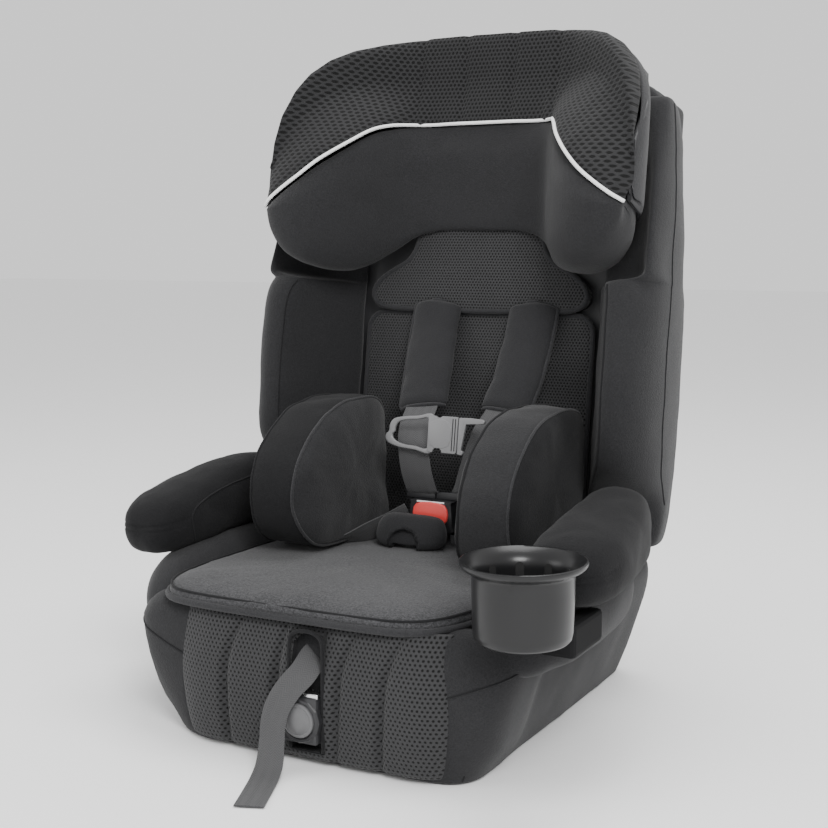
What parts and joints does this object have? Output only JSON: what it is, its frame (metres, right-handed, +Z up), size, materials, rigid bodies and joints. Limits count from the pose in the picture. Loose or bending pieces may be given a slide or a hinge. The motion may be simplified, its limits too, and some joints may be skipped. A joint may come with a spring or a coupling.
{
  "type": "child car seat",
  "caption": "Forward-facing child car seat: five-point harness, reclining back, height-adjustable winged headrest, padded armrests and a side cup holder",
  "frame": {"origin": "middle of the underside, on the stiffening rib across the base, in the plane of symmetry of the seat and on the floor plane", "axes": "+X to the seated child's left (the cup-holder side), +Y to the rear, +Z up; the seat faces -Y"},
  "size_m": [0.5415, 0.5635, 0.6988],
  "materials": {
    "knit_charcoal": "knitted cover fabric over foam",
    "heather_knit": "heather knit over wadding",
    "spacer_mesh": "open spacer mesh over foam",
    "black_knit": "smooth black knit over foam",
    "webbing_grey": "woven polyester webbing",
    "shell_plastic": "moulded, fine texture",
    "gloss_plastic": "moulded, glossy",
    "clip_plastic": "moulded, satin",
    "button_grey": "moulded, satin",
    "button_red": "moulded, red",
    "piping_white": "sewn piping cord",
    "steel": "pressed steel"
  },
  "bodies": {
    "adjuster_button": {"adjuster_button": "button_grey"},
    "base": {"adjuster_cam": "steel", "adjuster_housing": "shell_plastic", "adjuster_strap": "webbing_grey", "armrest_frame_left": "shell_plastic", "armrest_frame_right": "shell_plastic", "armrest_pad_left": "black_knit", "armrest_pad_right": "black_knit", "base_cover": "knit_charcoal", "base_shell": "shell_plastic", "buckle_body": "shell_plastic", "buckle_tongue_left": "steel", "buckle_tongue_right": "steel", "crotch_pad": "black_knit", "crotch_strap": "webbing_grey", "cup_holder": "gloss_plastic", "cup_holder_bracket": "shell_plastic", "front_mesh_panel": "spacer_mesh", "lap_strap_left": "webbing_grey", "lap_strap_right": "webbing_grey", "recline_bracket_left": "shell_plastic", "recline_bracket_right": "shell_plastic", "recline_pin_left": "steel", "recline_pin_right": "steel", "seat_cushion": "heather_knit"},
    "back": {"back_shell": "shell_plastic", "chest_clip_left": "clip_plastic", "chest_clip_right": "clip_plastic", "lower_insert": "spacer_mesh", "shoulder_pad_left": "black_knit", "shoulder_pad_right": "black_knit", "shoulder_strap_left": "webbing_grey", "shoulder_strap_right": "webbing_grey", "splitter_plate": "steel", "torso_bolster_left": "black_knit", "torso_bolster_right": "black_knit", "upper_insert": "spacer_mesh", "wing_pad_left": "knit_charcoal", "wing_pad_right": "knit_charcoal"},
    "buckle_button": {"buckle_button": "button_red"},
    "headrest": {"head_mesh_pad": "spacer_mesh", "head_pad": "knit_charcoal", "headrest_carrier": "shell_plastic", "headrest_piping": "piping_white", "headrest_shell": "shell_plastic"},
    "headrest_release": {"headrest_release": "shell_plastic"}
  },
  "joints": [
    {"name": "back_recline", "type": "hinge", "parent": "base", "child": "back", "pos_m": [0, 0.165, 0.158], "axis": [-1, 0, 0], "range_deg": [0, 8]},
    {"name": "headrest_height", "type": "slide", "parent": "back", "child": "headrest", "axis": [0, 0.1392, 0.9903], "range_m": [0, 0.1]},
    {"name": "headrest_release_pull", "type": "slide", "parent": "headrest", "child": "headrest_release", "axis": [0, 0.1392, 0.9903], "range_m": [0, 0.004], "stiffness_N_per_m": 400},
    {"name": "adjuster_press", "type": "slide", "parent": "base", "child": "adjuster_button", "axis": [0, 1, 0], "range_m": [0, 0.0045], "stiffness_N_per_m": 800},
    {"name": "buckle_press", "type": "slide", "parent": "base", "child": "buckle_button", "axis": [0, 1, 0], "range_m": [0, 0.004], "stiffness_N_per_m": 800}
  ]
}
